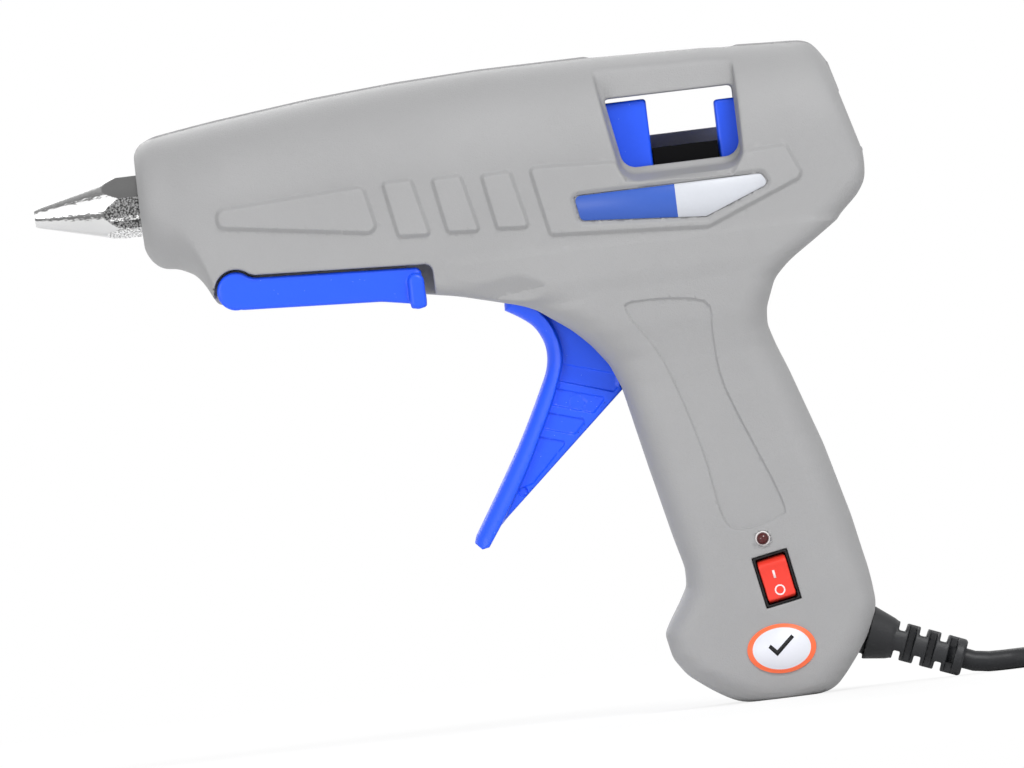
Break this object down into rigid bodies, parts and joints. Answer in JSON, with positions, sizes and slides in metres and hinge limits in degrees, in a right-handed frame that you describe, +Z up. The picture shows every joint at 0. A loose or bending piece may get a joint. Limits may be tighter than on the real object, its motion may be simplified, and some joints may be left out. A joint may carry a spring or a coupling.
{
  "type": "hot glue applicator",
  "caption": "Pistol-shaped hot glue applicator with a trigger-fed stick path, sight window, fold-down stand, rocker switch and mains cord.",
  "frame": {"origin": "centre of the flat end of the grip, on the plane where the two shells meet", "axes": "+Z up along the grip, -X out of the nozzle, -Y to the side with the switch"},
  "size_m": [0.3722, 0.0445, 0.1551],
  "materials": {
    "housing": "fine moulded texture",
    "blue_plastic": "satin",
    "steel": "satin",
    "nozzle_metal": "streaked, bright",
    "chamber_metal": "as cast",
    "heater_ceramic": "matt ceramic",
    "support_phenolic": "matt",
    "sleeve_silicone": "matt",
    "black_plastic": "satin",
    "red_plastic": "glossy",
    "lamp_red": "clear, glossy",
    "label_film": "printed film, two tones",
    "sticker_film": "printed film",
    "black_rubber": "satin",
    "pin_metal": "nickel plated"
  },
  "bodies": {
    "gun": {"left_shell": "housing", "right_shell": "housing", "rear_guide": "blue_plastic", "shell_screws": "steel", "heater_clip": "steel", "sleeve_clamp": "steel", "trigger_pin": "steel", "return_spring": "steel", "stand_pins": "steel", "clamp_screws": "steel", "nozzle": "nozzle_metal", "melt_chamber": "chamber_metal", "heater_element": "heater_ceramic", "front_support": "support_phenolic", "rear_support": "support_phenolic", "inlet_sleeve": "sleeve_silicone", "stick_trough": "black_plastic", "switch_body": "black_plastic", "cord_clamp": "black_plastic", "cord_tie": "black_plastic", "power_lamp": "lamp_red", "name_plate": "label_film", "oval_sticker": "sticker_film", "strain_relief": "black_rubber", "cord": "black_rubber", "cord_hank": "black_rubber", "plug_body": "black_rubber", "plug_pins": "pin_metal"},
    "carriage": {"feed_carriage": "blue_plastic", "jaw_pin": "steel"},
    "jaw": {"grip_jaw": "blue_plastic"},
    "trigger": {"trigger": "blue_plastic"},
    "stand": {"stand": "blue_plastic"},
    "rocker": {"switch_rocker": "red_plastic"}
  },
  "joints": [
    {"name": "trigger_pull", "type": "hinge", "parent": "gun", "child": "trigger", "pos_m": [-0.044, 0, 0.104], "axis": [0, -1, 0], "range_deg": [0, 20], "stiffness_Nm_per_rad": 0.3, "springref_deg": -17.19, "deforming": ["return_spring"]},
    {"name": "carriage_feed", "type": "slide", "parent": "gun", "child": "carriage", "axis": [-1, 0, 0], "range_m": [0, 0.01025]},
    {"name": "jaw_grip", "type": "hinge", "parent": "carriage", "child": "jaw", "pos_m": [-0.029, 0, 0.122], "axis": [0, -1, 0], "range_deg": [0, 8.1]},
    {"name": "stand_swing", "type": "hinge", "parent": "gun", "child": "stand", "pos_m": [-0.1162, 0, 0.1103], "axis": [0, 1, 0], "range_deg": [0, 90]},
    {"name": "switch_rock", "type": "hinge", "parent": "gun", "child": "rocker", "pos_m": [0.0013, -0.014, 0.0281], "axis": [-0.9848, 0, -0.1736], "range_deg": [0, 14]}
  ],
  "couplings": [
    {"joint": "carriage_feed", "follows": "trigger_pull", "m_per_rad": 0.0293},
    {"joint": "jaw_grip", "follows": "trigger_pull", "ratio": 0.4}
  ]
}
